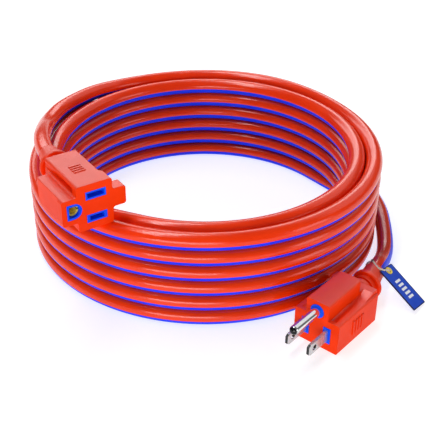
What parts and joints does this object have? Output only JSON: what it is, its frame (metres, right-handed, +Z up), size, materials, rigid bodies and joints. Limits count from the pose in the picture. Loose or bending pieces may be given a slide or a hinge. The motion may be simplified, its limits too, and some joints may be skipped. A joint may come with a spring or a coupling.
{
  "type": "extension cord",
  "caption": "Coiled round grounded extension cord with a striped jacket, a moulded three-pin plug, a moulded three-slot connector and a hang tag on a string.",
  "frame": {"origin": "on the floor, on the coil's axis, at the centre of the coil's base", "axes": "+Z up along the coil's axis; the connector lies on the coil's top towards -X -Y, and the plug on the floor beside it towards +X -Y, with its blades pointing towards -X -Y"},
  "size_m": [0.218, 0.2358, 0.0809],
  "materials": {
    "cord_jacket": "glossy orange-red jacket with a blue stripe moulded along it",
    "moulded_body": "satin orange-red moulding",
    "inner_block": "smooth blue plastic",
    "plated_contact": "bright nickel plate",
    "brass_contact": "formed strip",
    "line_insulation": "black insulation",
    "neutral_insulation": "white insulation",
    "ground_insulation": "green insulation",
    "tag_board": "blue coated card with a dark border and plain white bars",
    "tag_string": "twisted cotton",
    "eyelet": "rolled rim"
  },
  "bodies": {
    "cord": {"cord_coil": "cord_jacket", "connector_tail": "cord_jacket", "plug_tail": "cord_jacket", "plug_body": "moulded_body", "plug_inner_block": "inner_block", "line_blade": "plated_contact", "neutral_blade": "plated_contact", "ground_pin": "plated_contact", "plug_line_wire": "line_insulation", "plug_neutral_wire": "neutral_insulation", "plug_ground_wire": "ground_insulation", "plug_strain_relief": "moulded_body", "connector_body": "moulded_body", "connector_inner_block": "inner_block", "neutral_contact": "brass_contact", "line_contact": "brass_contact", "ground_contact": "brass_contact", "connector_line_wire": "line_insulation", "connector_neutral_wire": "neutral_insulation", "connector_ground_wire": "ground_insulation", "connector_strain_relief": "moulded_body"},
    "string_loop": {"tag_string": "tag_string"},
    "tag": {"tag_card": "tag_board", "tag_eyelet": "eyelet"}
  },
  "joints": [
    {"name": "loop_turn", "type": "hinge", "parent": "cord", "child": "string_loop", "pos_m": [0.09096, -0.0671, 0.01135], "axis": [-0.4368, -0.8996, 0], "range_deg": [0, 110]},
    {"name": "tag_swing", "type": "hinge", "parent": "string_loop", "child": "tag", "pos_m": [0.09667, -0.06946, 0.015], "axis": [-0.7572, -0.624, -0.1932], "range_deg": [0, 20]}
  ]
}
